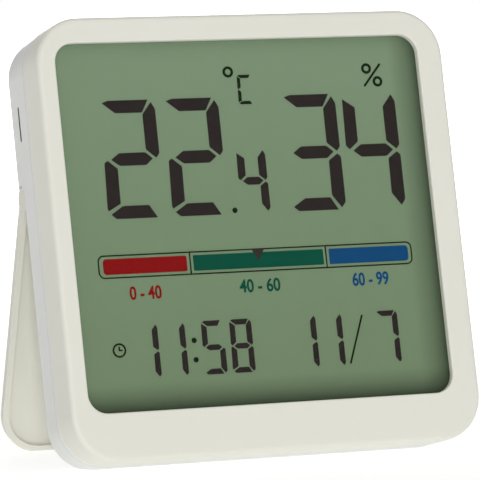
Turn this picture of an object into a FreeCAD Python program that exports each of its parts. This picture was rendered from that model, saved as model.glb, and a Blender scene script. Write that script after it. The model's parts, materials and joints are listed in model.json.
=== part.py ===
import FreeCAD, Part
import os
from math import cos, radians, sin, sqrt, tan

Vec = FreeCAD.Vector

# All sizes are in millimetres. The thermometer is drawn upright in its own frame: X to the right,
# Y to the back and Z up along its face, with the front plane at Y = 0 and the lower edge at Z = 0.
# At the end everything is leaned back to stand on its folding stand.

# Housing
width = 85.0
height = 85.0
corner_radius = 9.0
wall = 1.6
frame_depth = 8.0
front_edge_radius = 1.0
rear_edge_radius = 2.0
seam_gap = 0.3
seam_edge_radius = 0.25
cover_inset = 0.15
cover_draft = 0.45
tongue_depth = 1.1
tongue_clearance = 0.1
lean_deg = 13.3
rest_depth = 4.5

# Ribs and bosses reach this far into the wall that they grow from, and cutting shapes run this far
# past the face that they leave. Edges are picked by their place to within the last two values.
weld = 0.5
past = 1.0
near = 0.1
same = 1e-4

# Display opening in the frame, which sits a little to the left and high
bezel_left = 3.65
bezel_right = 5.45
bezel_top = 4.95
bezel_bottom = 9.3
opening_radius = 3.8
opening_edge_radius = 0.35
opening_lip = 1.3

# Clear window and the display stack behind it
window_thickness = 0.8
window_margin = 1.2
window_clearance = 0.08
stack_gap = 0.1
polariser_thickness = 0.2
glass_thickness = 0.7
reflector_thickness = 0.3
glass_margin = 0.5
ledge_height = 1.8
zebra_inset = 12.5
zebra_height = 1.3

# Display holder and circuit board
holder_thickness = 1.6
holder_wall = 0.5
holder_clearance = 0.1
holder_side_gap = 0.4
holder_top_gap = 1.7
holder_corner = 1.0
holder_rib_inset = 12.0
holder_tongue_margin = 2.5
holder_foot = 0.8
board_thickness = 1.0
board_side_gap = 5.5
board_bay_gap = 1.25
board_corner = 1.0
board_clearance = 0.2

# Screws
case_screw_inset = 7.0
case_screw_z = 4.7
case_boss_radius = 2.2
case_boss_reach = 1.0
case_boss_gap = 0.05
case_boss_skin = 0.4
cover_boss_radius = 2.4
case_head_radius = 1.6
case_head_height = 1.2
case_shank_radius = 0.85
case_head_seat = 12.0
case_screw_length = 7.5
head_hole_clearance = 0.15
shank_clearance = 0.15
thread_clearance = 0.02
board_screw_inset = 3.5
board_screw_low = 4.9
board_screw_high = 13.0
board_screw_skin = 0.2
board_head_radius = 1.3
board_head_height = 0.8
board_shank_radius = 0.65
board_screw_length = 2.3
head_edge_share = 0.3
cross_share = 0.6
cross_width = 0.45
cross_depth = 0.5

# Snap hooks on the top edge of the rear cover
hook_x = 20.0
hook_half_width = 3.0
hook_reach = 3.6
hook_root = 1.0
hook_thickness = 1.0
hook_clearance = 0.1
barb_length = 0.8
barb_height = 0.6
barb_clearance = 0.2

# Posts of the rear cover that press on the board
post_x = 24.0
post_low = 16.0
post_drop = 6.9
post_radius = 1.8
post_clearance = 0.1

# Folding stand and its hinge, which lies below the push buttons, and the recess that it folds into
recess_depth = 3.1
recess_edge_radius = 2.0
pivot_drop = 7.9
open_deg = 29.5
stand_thickness = 2.2
stand_side_inset = 0.2
stand_wall = 1.3
stand_skin = 1.1
stand_floor_radius = 0.5
foot_flat = 1.0
stand_corner_radius = 8.5
stand_edge_radius = 1.0
stand_band = 4.5
stand_inner_radius = 1.5
barrel_radius = 2.3
barrel_clearance = 0.3
knuckle_inset = 11.5
knuckle_length = 6.0
knuckle_side_gap = 0.3
knuckle_radius = 1.85
knuckle_room = 2.5
pin_radius = 0.9
pin_length = 13.0
pin_inward = 4.5
pin_clearance = 0.05
heel_half_width = 6.0
heel_half_thickness = 1.2
heel_height = 2.6
heel_clearance = 0.04
heel_side_gap = 0.4
shelf_wall = 1.0
heel_top_gap = 0.15

# Battery bay, cell, contacts and door
cell_radius = 5.25
cell_length = 43.7
cell_nub_radius = 1.9
cell_nub_length = 0.8
cell_edge_radius = 0.5
cell_clearance = 0.3
bay_drop = 12.0
bay_wall = 1.2
contact_thickness = 0.4
contact_gap = 0.2
contact_half_height = 4.6
contact_foot_width = 2.0
contact_foot_drop = 4.0
contact_slot_clearance = 0.2
spring_length = 4.6
spring_wire_radius = 0.3
spring_large_radius = 3.6
spring_small_radius = 2.0
spring_half_turns = 7
door_thickness = 1.5
door_overlap_x = 3.0
door_overlap_z = 1.5
door_clearance = 0.15
door_seat_gap = 0.05
door_corner_radius = 1.5
tab_x = 20.0
tab_half_width = 2.5
tab_thickness = 0.7
tab_reach = 0.9
tab_root = 2.4
tab_clearance = 0.1
tab_sweep = 3.2
latch_half_width = 5.0
latch_length = 3.0
latch_thickness = 0.8
latch_gap = 0.1
latch_notch = 0.85
latch_side_gap = 0.3
latch_catch = 0.5
grip_radius = 7.0
grip_depth = 0.7
grip_drop = 4.0
grip_half_width = 5.5

# Push buttons and their switches
button_x = (-13.0, 0.0, 13.0)
button_names = ("mode", "up", "down")
button_drop = 12.0
button_radius = 3.2
button_stand_out = 0.6
button_clearance = 0.15
button_flange = 0.5
button_flange_thickness = 0.9
button_stem_radius = 1.6
button_edge_radius = 0.4
button_travel = 0.4
flange_gap = 0.1
switch_half_size = 3.0
switch_height = 3.5
switch_corner = 0.4
plunger_radius = 1.75
plunger_stand_out = 2.0
plunger_clearance = 0.05
plunger_socket = 0.9
plunger_socket_gap = 0.1
contact_play = 0.05

# Vent slit on the left side and the sensors behind it
vent_y = 13.6
vent_drop = 17.9
vent_length = 6.8
vent_width = 0.8
sensor_wall_gap = 1.9
sensor_size = (4.5, 5.4, 8.6)
sensor_drop = 0.9
sensor_edge = 0.5
sensor_slots = 3
sensor_slot_height = 0.86
sensor_slot_depth = 1.5
sensor_slot_inset = 1.1
lead_radius = 0.25
lead_inset = 1.35
lead_drops = (2.4, 0.8)
thermistor_inset = 8.0
thermistor_drop = 3.0
thermistor_radius = 1.1
thermistor_reach = 5.0
thermistor_pitch = 1.2

# Components on the back of the board
chip_z = 30.0
chip_radius = 7.0
chip_dome = 1.6
crystal_x = 12.0
crystal_z = 32.0
crystal_radius = 1.0
crystal_length = 6.0
crystal_leg = 2.0
crystal_leg_root = 0.5
crystal_leg_radius = 0.15
crystal_foot_half = 0.2
crystal_pitch = 0.7
capacitor_size = (2.0, 1.0, 1.25)
capacitor_x = (-18.0, -13.0, 12.0, 17.0)
capacitor_z = (24.0, 39.0)
resistor_size = (1.6, 0.5, 0.8)
resistor_x = (-16.0, -12.0, -8.0, 8.0, 12.0, 16.0)
resistor_z = 19.5

# Places worked out from the sizes above
lean = radians(lean_deg)
half = width / 2
seam_y = frame_depth + seam_gap
rest_y = frame_depth + rest_depth
front_wall = opening_lip + window_thickness
opening = (-half + bezel_left, half - bezel_right, bezel_bottom, height - bezel_top)
polariser_y = front_wall + stack_gap
front_glass_y = polariser_y + polariser_thickness
rear_glass_y = front_glass_y + glass_thickness
reflector_y = rear_glass_y + glass_thickness
holder_y = reflector_y + reflector_thickness
board_y = holder_y + holder_thickness
board_back = board_y + board_thickness
bay_floor = board_y + bay_wall
cell_y = bay_floor + cell_clearance + cell_radius
door_inner = cell_y + cell_radius + cell_clearance
body_depth = door_inner + door_thickness
back_inner = body_depth - wall
recess_y = body_depth - recess_depth
pivot_y = body_depth - barrel_radius
barrel_room = barrel_radius + barrel_clearance
base_middle = (rest_y + recess_y) / 2
glass_top = opening[3] + glass_margin
glass_low = opening[2] - glass_margin
ledge_low = glass_low - ledge_height
zebra_z = (ledge_low + glass_low) / 2
tongue_outer = wall / 2 + tongue_clearance
bay_half = (cell_length + cell_nub_length + spring_length) / 2 + contact_thickness + contact_gap
bay_half_z = cell_radius + cell_clearance
bay_z = height - bay_drop
button_z = bay_z - button_drop
pivot_z = button_z - pivot_drop
door_half = bay_half + door_overlap_x
door_low = bay_z - bay_half_z - door_overlap_z
door_high = bay_z + bay_half_z + door_overlap_z
board_half_width = half - board_side_gap
thermistor_x = -board_half_width + thermistor_inset
board_top = bay_z - bay_half_z - bay_wall - board_bay_gap
board_low = case_screw_z + case_boss_radius + board_clearance
board_screw_z = (board_low + board_screw_low, board_top - board_screw_high)
case_screw_x = half - case_screw_inset
boss_meet = frame_depth + case_boss_reach
hook_tip = seam_y - hook_reach
post_z = (post_low, pivot_z - post_drop)
knuckle_x = half - knuckle_inset
pin_inner_x = knuckle_x - pin_inward
zebra_half_length = half - zebra_inset
vent_z = height - vent_drop
sensor_z = vent_z - sensor_drop
heel_room = sqrt(heel_height ** 2 + heel_half_thickness ** 2) + heel_top_gap
shelf_z = pivot_z + heel_room + shelf_wall


def box(x0, x1, y0, y1, z0, z1):
    return Part.makeBox(x1 - x0, y1 - y0, z1 - z0, Vec(x0, y0, z0))


def rod_y(x, z, y0, y1, radius):
    return Part.makeCylinder(radius, y1 - y0, Vec(x, y0, z), Vec(0, 1, 0))


def rod_x(y, z, x0, x1, radius):
    return Part.makeCylinder(radius, x1 - x0, Vec(x0, y, z), Vec(1, 0, 0))


def outline(x0, x1, z0, z1, low, high, y):
    """A closed outline at depth y: a rectangle with radius low below and radius high above."""
    corners = (
        (x1, z0, -1, 1, low),
        (x1, z1, -1, -1, high),
        (x0, z1, 1, -1, high),
        (x0, z0, 1, 1, low),
    )
    points = []
    for x, z, sx, sz, r in corners:
        flat = r * (1 - sqrt(0.5))
        along_x = Vec(x + sx * r, y, z)
        along_z = Vec(x, y, z + sz * r)
        middle = Vec(x + sx * flat, y, z + sz * flat)
        first, last = (along_x, along_z) if sx * sz < 0 else (along_z, along_x)
        points.append((first, middle, last, r))
    edges = []
    for i, (first, middle, last, r) in enumerate(points):
        if r > 0:
            edges.append(Part.Arc(first, middle, last).toShape())
        edges.append(Part.makeLine(last, points[(i + 1) % 4][0]))
    return Part.Wire(edges)


def slab(x0, x1, z0, z1, radius, y0, y1, high=None):
    """A plate between two depths, with rounded corners."""
    top = radius if high is None else high
    return Part.Face(outline(x0, x1, z0, z1, radius, top, y0)).extrude(Vec(0, y1 - y0, 0))


def slot_x(x0, x1, y, z, length, wide):
    """A cutting shape for a slot through a side wall: a box with a round rod at each end."""
    r = wide / 2
    reach = length / 2 - r
    ends = [rod_x(y, z + side * reach, x0, x1, r) for side in (-1, 1)]
    return joined(box(x0, x1, y - r, y + r, z - reach, z + reach), *ends)


def edges_at_y(shape, y):
    return [e for e in shape.Edges if abs(e.BoundBox.YMin - y) < same and abs(e.BoundBox.YMax - y) < same]


def joined(first, *others):
    return first.fuse(list(others)).removeSplitter()


def base_line(y):
    """Height of the table plane at depth y. It meets the flat underside at the depth rest_y."""
    return (y - rest_y) * tan(lean)


def under_table(inset):
    """All that lies below the table plane raised by inset, as a cutting block."""
    block = box(-width, width, -width, width, -height, 0)
    block.translate(Vec(0, rest_y, 0))
    block.rotate(Vec(0, rest_y, 0), Vec(1, 0, 0), lean_deg)
    block.translate(Vec(0, 0, inset / cos(lean)))
    return block


def cover_section(y, inset):
    """Outline of the rear cover at depth y. Three sides draw in slowly, the underside stays flat."""
    draw = cover_inset + cover_draft * (y - seam_y) / (body_depth - seam_y)
    side = half - draw - inset
    top = height - draw - inset
    radius = corner_radius - draw - inset
    return outline(-side, side, inset, top, radius, radius, y)


def cover_loft(y1, inset):
    """The cover's form from the seam back to depth y1, drawn in on all sides by inset."""
    return Part.makeLoft([cover_section(seam_y, inset), cover_section(y1, inset)], True, True)


def rounded_block(y1, radius):
    """The cover's outer form back to depth y1, with that radius on its rear edge. Its lower rear
    edge is cut off along the table, which leaves the flat strip that the housing rests on."""
    block = cover_loft(y1, 0)
    block = block.makeFillet(radius, edges_at_y(block, y1))
    block = block.makeFillet(seam_edge_radius, edges_at_y(block, seam_y))
    return block.cut(under_table(0))


def cover_room(y1):
    """The hollow of the cover back to depth y1, one wall inside its outer form."""
    return cover_loft(y1, wall).cut(under_table(wall))


def band_z(low, high):
    """A block that keeps what lies between two heights."""
    return box(-half - past, half + past, -past, body_depth + past, low, high)


def screw(x, z, seat, head_radius, head_height, shank_radius, length):
    """A cross-head screw along Y with its head's underside at depth seat."""
    head = rod_y(x, z, seat, seat + head_height, head_radius)
    head = head.makeFillet(head_height * head_edge_share, edges_at_y(head, seat + head_height))
    body = joined(head, rod_y(x, z, seat - length, seat, shank_radius))
    reach = head_radius * cross_share
    y0 = seat + head_height - cross_depth
    y1 = seat + head_height + past
    for wide, tall in ((reach, cross_width / 2), (cross_width / 2, reach)):
        body = body.cut(box(x - wide, x + wide, y0, y1, z - tall, z + tall))
    return body


def front_frame():
    """The front half of the housing: a shell with the display opening, a seat for the window
    behind it, two screw bosses below and two pockets above for the cover's hooks."""
    shell = slab(-half, half, 0, height, corner_radius, 0, frame_depth)
    shell = shell.makeFillet(front_edge_radius, edges_at_y(shell, 0))
    shell = shell.makeFillet(seam_edge_radius, edges_at_y(shell, frame_depth))
    inner = slab(-half + wall, half - wall, wall, height - wall, corner_radius - wall,
                 front_wall, frame_depth + past)
    step = wall / 2
    rebate = slab(-half + step, half - step, step, height - step, corner_radius - step,
                  seam_y - tongue_depth - seam_gap, frame_depth + past)
    x0, x1, z0, z1 = opening
    hole = slab(x0, x1, z0, z1, opening_radius, -past, front_wall + past)
    m = window_margin
    seat = slab(x0 - m, x1 + m, z0 - m, z1 + m, opening_radius + m, opening_lip, front_wall + past)
    shell = shell.cut([inner, rebate, hole])
    lip = [e for e in edges_at_y(shell, 0)
           if e.BoundBox.XMin > x0 - near and e.BoundBox.XMax < x1 + near
           and e.BoundBox.ZMin > z0 - near and e.BoundBox.ZMax < z1 + near]
    shell = shell.makeFillet(opening_edge_radius, lip).cut(seat)
    for side in (-1, 1):
        x = side * case_screw_x
        shell = shell.fuse(rod_y(x, case_screw_z, front_wall, boss_meet, case_boss_radius))
        hole_radius = case_shank_radius + thread_clearance
        shell = shell.cut(rod_y(x, case_screw_z, front_wall + case_boss_skin, boss_meet + past,
                                hole_radius))
        tip = hook_tip + barb_length / 2
        length = barb_length / 2 + barb_clearance
        wide = hook_half_width + barb_clearance
        ceiling = height - wall
        shell = shell.cut(box(side * hook_x - wide, side * hook_x + wide, tip - length, tip + length,
                              ceiling - past, ceiling + barb_height))
    return shell.removeSplitter()


def window_plate(x_margin, low_margin, y0, thickness):
    """A sheet of the display stack, larger than the opening by these margins."""
    x0, x1, z0, z1 = opening
    return box(x0 - x_margin, x1 + x_margin, y0, y0 + thickness, z0 - low_margin, z1 + x_margin)


def display_window():
    """The clear window, which lies in its seat behind the lip of the opening."""
    x0, x1, z0, z1 = opening
    m = window_margin - window_clearance
    return slab(x0 - m, x1 + m, z0 - m, z1 + m, opening_radius + m, opening_lip, front_wall)


def lcd_layers():
    """The display's sheets: polariser, front glass with its contact ledge, rear glass, reflector."""
    return {
        "lcd_polariser": window_plate(glass_margin, glass_margin, polariser_y, polariser_thickness),
        "lcd_front_glass": window_plate(glass_margin, glass_margin + ledge_height, front_glass_y,
                                        glass_thickness),
        "lcd_rear_glass": window_plate(glass_margin, glass_margin, rear_glass_y, glass_thickness),
        "lcd_reflector": window_plate(glass_margin, glass_margin, reflector_y, reflector_thickness),
    }


def zebra_strip():
    """The rubber strip that joins the glass's contact ledge to the board through the holder."""
    z0 = zebra_z - zebra_height / 2
    return box(-zebra_half_length, zebra_half_length, rear_glass_y, board_y, z0, z0 + zebra_height)


def lcd_holder():
    """A plate behind the display with ribs round the glass, a slot for the rubber strip below it
    and four holes for the board's screws."""
    side = half - wall - holder_side_gap
    top = height - wall - holder_top_gap
    x0, x1 = opening[0] - glass_margin - holder_clearance, opening[1] + glass_margin + holder_clearance
    low = glass_low + holder_clearance
    foot = ledge_low - holder_clearance - holder_foot
    radius = corner_radius - wall - holder_side_gap
    plate = slab(-side, side, low, top, holder_corner, holder_y, board_y, radius)
    rib = (opening[2] + holder_rib_inset, opening[3] - holder_rib_inset)
    t = zebra_half_length + holder_tongue_margin
    front = front_wall + holder_clearance
    upper = glass_top + holder_clearance
    plate = joined(
        plate,
        box(-t, t, holder_y, board_y, foot, low + holder_corner),
        box(-t, t, front, holder_y, foot, foot + holder_foot),
        box(x0 - holder_wall, x0, front, holder_y, *rib),
        box(x1, x1 + holder_wall, front, holder_y, *rib),
        box(-t, t, front, holder_y, upper, upper + holder_wall),
    )
    z = zebra_height / 2 + holder_clearance
    x = zebra_half_length + holder_clearance
    plate = plate.cut(box(-x, x, holder_y - past, board_y + past, zebra_z - z, zebra_z + z))
    radius = board_shank_radius + thread_clearance
    for x, z in board_screw_places():
        plate = plate.cut(rod_y(x, z, holder_y + board_screw_skin, board_y + past, radius))
    return plate


def board_screw_places():
    x = board_half_width - board_screw_inset
    return [(side * x, z) for side in (-1, 1) for z in board_screw_z]


def circuit_board():
    board = slab(-board_half_width, board_half_width, board_low, board_top, board_corner, board_y,
                 board_back)
    radius = board_shank_radius + shank_clearance
    for x, z in board_screw_places():
        board = board.cut(rod_y(x, z, board_y - past, board_back + past, radius))
    return board


def button_switch(x):
    """A small switch on the board with a round socket for its plunger."""
    top = board_back + switch_height
    body = slab(x - switch_half_size, x + switch_half_size, button_z - switch_half_size,
                button_z + switch_half_size, switch_corner, board_back, top)
    return body.cut(rod_y(x, button_z, top - plunger_socket, top + past, plunger_radius + plunger_clearance))


def plunger(x):
    """The switch's plunger. It rides in its socket and goes down with the button."""
    top = board_back + switch_height
    low = top - plunger_socket + button_travel + plunger_socket_gap
    return rod_y(x, button_z, low, top + plunger_stand_out, plunger_radius)


def button(x):
    """A round push button. Its flange stops it behind the cover and its stem meets the plunger."""
    stem_end = board_back + switch_height + plunger_stand_out + contact_play
    cap_end = body_depth + button_stand_out
    flange_back = back_inner - flange_gap
    cap = rod_y(x, button_z, flange_back - button_flange_thickness, cap_end, button_radius)
    cap = cap.makeFillet(button_edge_radius, edges_at_y(cap, cap_end))
    flange = rod_y(x, button_z, flange_back - button_flange_thickness, flange_back,
                   button_radius + button_flange)
    stem = rod_y(x, button_z, stem_end, flange_back, button_stem_radius)
    return joined(cap, flange, stem)


def humidity_sensor():
    """A slotted cage on two leads, just inside the vent slit."""
    dx, dy, dz = sensor_size
    x0 = -half + wall + sensor_wall_gap
    y0 = vent_y - dy / 2
    z0 = sensor_z - dz / 2
    cage = slab(x0, x0 + dx, z0, z0 + dz, sensor_edge, y0, y0 + dy)
    pitch = dz / (sensor_slots + 1)
    for i in range(sensor_slots):
        low = z0 + pitch * (i + 1) - sensor_slot_height / 2
        cage = cage.cut(box(x0 - past, x0 + sensor_slot_depth, y0 + sensor_slot_inset,
                            y0 + dy - sensor_slot_inset, low, low + sensor_slot_height))
    leads = [rod_y(x0 + dx - lead_inset, board_top - drop, board_back, y0 + weld, lead_radius)
             for drop in lead_drops]
    return joined(cage, *leads)


def thermistor():
    """A glass bead on two stiff leads, which senses the temperature of the air in the housing."""
    y = board_back + thermistor_reach
    z = board_top - thermistor_drop
    bead = Part.makeSphere(thermistor_radius, Vec(thermistor_x, y, z))
    leads = [rod_y(thermistor_x + side * thermistor_pitch / 2, z, board_back, y, lead_radius)
             for side in (-1, 1)]
    return joined(bead, *leads)


def controller_chip():
    """A drop of black resin over the bare chip: the cap of a sphere."""
    radius = (chip_radius ** 2 + chip_dome ** 2) / (2 * chip_dome)
    ball = Part.makeSphere(radius, Vec(0, board_back + chip_dome - radius, chip_z))
    r = chip_radius + past
    return ball.common(box(-r, r, board_back, board_back + chip_dome + past, chip_z - r, chip_z + r))


def quartz_crystal():
    """A can lying on the board. Its two legs run back to feet that stand in the board."""
    y = board_back + crystal_radius
    can = rod_x(y, crystal_z, crystal_x, crystal_x + crystal_length, crystal_radius)
    parts = []
    start = crystal_x - crystal_leg
    for side in (-1, 1):
        z = crystal_z + side * crystal_pitch / 2
        parts.append(rod_x(y, z, start, crystal_x + crystal_leg_root, crystal_leg_radius))
        r = crystal_foot_half
        parts.append(box(start - r, start + r, board_back, y + r, z - r, z + r))
    return joined(can, *parts)


def chips(size, places):
    """Small soldered blocks on the back of the board, as separate solids."""
    dx, dy, dz = size
    return Part.makeCompound([box(x - dx / 2, x + dx / 2, board_back, board_back + dy, z - dz / 2, z + dz / 2)
                              for x, z in places])


def cell_start():
    """Where the cell's flat end lies, which the spring presses on."""
    return -bay_half + contact_gap + contact_thickness + spring_length


def battery_cell():
    """One round cell along X, with its raised contact to the right."""
    x0 = cell_start()
    x1 = x0 + cell_length
    can = rod_x(cell_y, bay_z, x0, x1, cell_radius)
    ends = [e for e in can.Edges if e.Closed and e.BoundBox.XLength < same]
    can = can.makeFillet(cell_edge_radius, ends)
    return joined(can, rod_x(cell_y, bay_z, x1 - weld, x1 + cell_nub_length, cell_nub_radius))


def contact_plate(x0):
    """A flat contact in one end of the bay, with a leg that goes down and forward to the board."""
    y0 = cell_y - contact_half_height
    y1 = cell_y + contact_half_height
    z0 = bay_z - contact_half_height
    z1 = bay_z + contact_half_height
    foot = board_top - contact_foot_drop
    y2 = y0 + contact_foot_width
    z2 = foot + contact_foot_width
    corners = ((y0, z1), (y1, z1), (y1, z0), (y2, z0), (y2, foot), (board_back, foot), (board_back, z2),
               (y0, z2))
    points = [Vec(x0, y, z) for y, z in corners]
    return Part.Face(Part.makePolygon(points + points[:1])).extrude(Vec(contact_thickness, 0, 0))


def battery_spring():
    """A conical coil between the contact plate and the cell, on half-turn arcs."""
    start = -bay_half + contact_gap + contact_thickness + spring_wire_radius
    run = spring_length - 2 * spring_wire_radius

    def point(t):
        share = t / spring_half_turns
        radius = spring_large_radius + (spring_small_radius - spring_large_radius) * share
        angle = radians(180.0 * t)
        return Vec(start + run * share, cell_y + radius * cos(angle), bay_z + radius * sin(angle))

    arcs = [Part.Arc(point(i), point(i + 0.5), point(i + 1)).toShape() for i in range(spring_half_turns)]
    path = Part.Wire(arcs)
    first = point(0)
    circle = Part.Circle(first, Part.Wire(arcs[0]).Edges[0].tangentAt(arcs[0].FirstParameter),
                         spring_wire_radius)
    return Part.Solid(path.makePipeShell([Part.Wire(circle.toShape())], True, False))


def battery_door():
    """The door: a plate with two tabs below and a springy latch tongue above."""
    d = door_clearance
    plate = slab(-door_half + d, door_half - d, door_low + d, door_high - d, door_corner_radius,
                 door_inner + door_seat_gap, body_depth)
    plate = plate.cut(rod_x(body_depth + grip_radius - grip_depth, door_high - grip_drop,
                            -grip_half_width, grip_half_width, grip_radius))
    parts = []
    tab_back = back_inner - tab_clearance
    for side in (-1, 1):
        x0 = side * tab_x - tab_half_width
        x1 = side * tab_x + tab_half_width
        y0 = tab_back - tab_thickness
        top = door_low + tab_root
        parts.append(box(x0, x1, y0, tab_back, door_low - tab_reach, top))
        parts.append(box(x0, x1, y0, door_inner + weld, door_low + door_overlap_z + d, top))
    z1 = bay_z + bay_half_z - latch_gap
    parts.append(box(-latch_half_width, latch_half_width, door_inner - latch_length, door_inner + weld,
                     z1 - latch_thickness, z1))
    return joined(plate, *parts)


def battery_bay(cover):
    """Adds the open-backed tub for the cell, the door's seat and the slots of tabs, latch and contacts."""
    x = bay_half + bay_wall
    z = bay_half_z + bay_wall
    cover = cover.fuse(box(-x, x, board_y, back_inner + weld, bay_z - z, bay_z + z))
    cover = cover.cut(box(-bay_half, bay_half, bay_floor, body_depth + past, bay_z - bay_half_z,
                          bay_z + bay_half_z))
    cover = cover.cut(slab(-door_half, door_half, door_low, door_high, door_corner_radius, door_inner,
                           body_depth + past))
    w = latch_half_width + latch_side_gap
    z = bay_z + bay_half_z
    cover = cover.cut(box(-w, w, door_inner - latch_length - latch_side_gap, door_inner + weld,
                          z - latch_catch, z + latch_notch))
    through_wall = (bay_z - bay_half_z - bay_wall - past, bay_z - bay_half_z + past)
    for side in (-1, 1):
        x0 = side * tab_x - tab_half_width - tab_clearance
        x1 = side * tab_x + tab_half_width + tab_clearance
        y0 = back_inner - tab_sweep
        cover = cover.cut(box(x0, x1, y0, door_inner + weld, *through_wall))
        cover = cover.cut(box(x0, x1, y0, back_inner, door_low - tab_reach - 2 * tab_clearance, door_low))
        contact_x = side * (bay_half - contact_gap - contact_thickness / 2)
        w = contact_thickness / 2 + contact_slot_clearance
        y0 = cell_y - contact_half_height - contact_slot_clearance
        y1 = cell_y - contact_half_height + contact_foot_width + contact_slot_clearance
        cover = cover.cut(box(contact_x - w, contact_x + w, y0, y1, *through_wall))
    return cover


def hinge_seat(cover):
    """Cuts the seat of the stand's barrel and the pocket of its stop, and adds two fixed knuckles."""
    cover = cover.cut(rod_x(pivot_y, pivot_z, -half - past, half + past, barrel_room))
    reach = heel_half_thickness * cos(radians(open_deg)) + heel_height * sin(radians(open_deg))
    w = heel_half_width + heel_side_gap
    cover = cover.cut(box(-w, w, pivot_y - reach - heel_clearance, body_depth + past, pivot_z,
                          pivot_z + heel_room))
    for side in (-1, 1):
        x0 = side * knuckle_x - knuckle_length / 2
        x1 = x0 + knuckle_length
        web = box(x0, x1, pivot_y - barrel_room - weld, pivot_y, pivot_z - knuckle_radius,
                  pivot_z + knuckle_room)
        cover = cover.fuse([web, rod_x(pivot_y, pivot_z, x0, x1, knuckle_radius)])
        cover = cover.cut(rod_x(pivot_y, pivot_z, x0 - past, x1 + past, pin_radius + pin_clearance))
    return cover


def rear_cover():
    """The back half of the housing: a tapered shell whose lower part is set back for the folded
    stand, with the tongue that enters the frame, bosses, hooks, posts, bay, hinge and holes.

    Its hollow has three depths: shallow behind the hinge, deeper below it and deepest above it.
    """
    lower = rounded_block(recess_y, recess_edge_radius).common(band_z(-past, pivot_z))
    upper = rounded_block(body_depth, rear_edge_radius).common(band_z(pivot_z, height))
    shell = joined(lower, upper)
    hinge_low = pivot_z - barrel_room - shelf_wall
    rooms = [cover_room(back).common(band_z(low, high)) for back, low, high in (
        (recess_y - wall, 0, hinge_low),
        (pivot_y - barrel_room - shelf_wall, hinge_low, shelf_z),
        (back_inner, shelf_z, height),
    )]
    shell = shell.cut(joined(*rooms))
    t = tongue_outer
    ring = slab(-half + t, half - t, t, height - t, corner_radius - t, seam_y - tongue_depth, seam_y)
    t = wall + cover_inset
    ring = ring.cut(slab(-half + t, half - t, t, height - t, corner_radius - t, 0, body_depth))
    shell = shell.fuse(ring)
    for side in (-1, 1):
        x = side * case_screw_x
        shell = shell.fuse(rod_y(x, case_screw_z, boss_meet + case_boss_gap, recess_y - weld,
                                 cover_boss_radius))
        tab_top = height - wall - hook_clearance
        x0 = side * hook_x - hook_half_width
        x1 = side * hook_x + hook_half_width
        arm = box(x0, x1, hook_tip, seam_y + hook_root, tab_top - hook_thickness, tab_top)
        barb = box(x0, x1, hook_tip, hook_tip + barb_length, tab_top, tab_top + barb_height)
        shell = shell.fuse([arm, barb])
        for z in post_z:
            shell = shell.fuse(rod_y(side * post_x, z, board_back + post_clearance, recess_y - weld,
                                     post_radius))
    shell = battery_bay(shell)
    shell = hinge_seat(shell)
    for side in (-1, 1):
        x = side * case_screw_x
        shell = shell.cut(rod_y(x, case_screw_z, 0, body_depth, case_shank_radius + shank_clearance))
        shell = shell.cut(rod_y(x, case_screw_z, case_head_seat, body_depth,
                                case_head_radius + head_hole_clearance))
    for x in button_x:
        shell = shell.cut(rod_y(x, button_z, back_inner - past, body_depth + past,
                                button_radius + button_clearance))
    slit = slot_x(-half - past, -half + wall + past, vent_y, vent_z, vent_length, vent_width)
    return shell.cut(slit).removeSplitter()


def stand():
    """The folding stand, drawn folded flat against the back: a shallow tray below a round barrel.

    Its length follows from the table. Open, it tilts back by the opening angle less the lean, and
    the front of its lower edge must reach the table that lies below the pivot:
    length = (pivot height + depth of the tray's front behind the pivot * sin tilt) / cos tilt.
    A little more length, cut off along the table, gives the edge a flat foot.
    """
    side = half - cover_inset - cover_draft - stand_side_inset
    inner = body_depth - stand_thickness
    tilt = radians(open_deg) - lean
    pivot_height = (pivot_z - base_line(pivot_y)) * cos(lean)
    edge = pivot_z - (pivot_height + (inner - pivot_y) * sin(tilt)) / cos(tilt)
    low = edge - foot_flat * sin(tilt)
    r = stand_corner_radius
    tray = slab(-side, side, low, pivot_z, r, inner, body_depth, 0)
    rim = [e for e in edges_at_y(tray, body_depth) if e.BoundBox.ZMin < pivot_z - near]
    tray = tray.makeFillet(stand_edge_radius, rim)
    w = stand_wall
    floor_y = body_depth - stand_skin
    hollow = slab(-side + w, side - w, low + w, pivot_z - stand_band, r - w, inner - past, floor_y,
                  stand_inner_radius)
    tray = tray.cut(hollow.makeFillet(stand_floor_radius, edges_at_y(hollow, floor_y)))
    tray = tray.fuse(rod_x(pivot_y, pivot_z, -side, side, barrel_radius))
    tray = tray.fuse(box(-heel_half_width, heel_half_width, pivot_y - heel_half_thickness,
                         pivot_y + heel_half_thickness, pivot_z, pivot_z + heel_height))
    w = knuckle_length / 2 + knuckle_side_gap
    reach = barrel_radius + past
    for s in (-1, 1):
        tray = tray.cut(box(s * knuckle_x - w, s * knuckle_x + w, pivot_y - reach, pivot_y + reach,
                            pivot_z - knuckle_room, pivot_z + reach))
        x0, x1 = sorted((s * (pin_inner_x - pin_clearance), s * (pin_inner_x + pin_length + pin_clearance)))
        tray = tray.cut(rod_x(pivot_y, pivot_z, x0, x1, pin_radius + pin_clearance))
    depth = 2 * stand_thickness
    table = box(-half, half, inner - depth, inner + depth, edge - depth, edge)
    table.rotate(Vec(0, inner, edge), Vec(1, 0, 0), -(open_deg - lean_deg))
    return tray.cut(table).removeSplitter()


def hinge_pins():
    """Two steel pins, each through a knuckle of the cover and into the stand on both sides of it."""
    pins = []
    for side in (-1, 1):
        x0, x1 = sorted((side * pin_inner_x, side * (pin_inner_x + pin_length)))
        pins.append(rod_x(pivot_y, pivot_z, x0, x1, pin_radius))
    return Part.makeCompound(pins)


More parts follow.
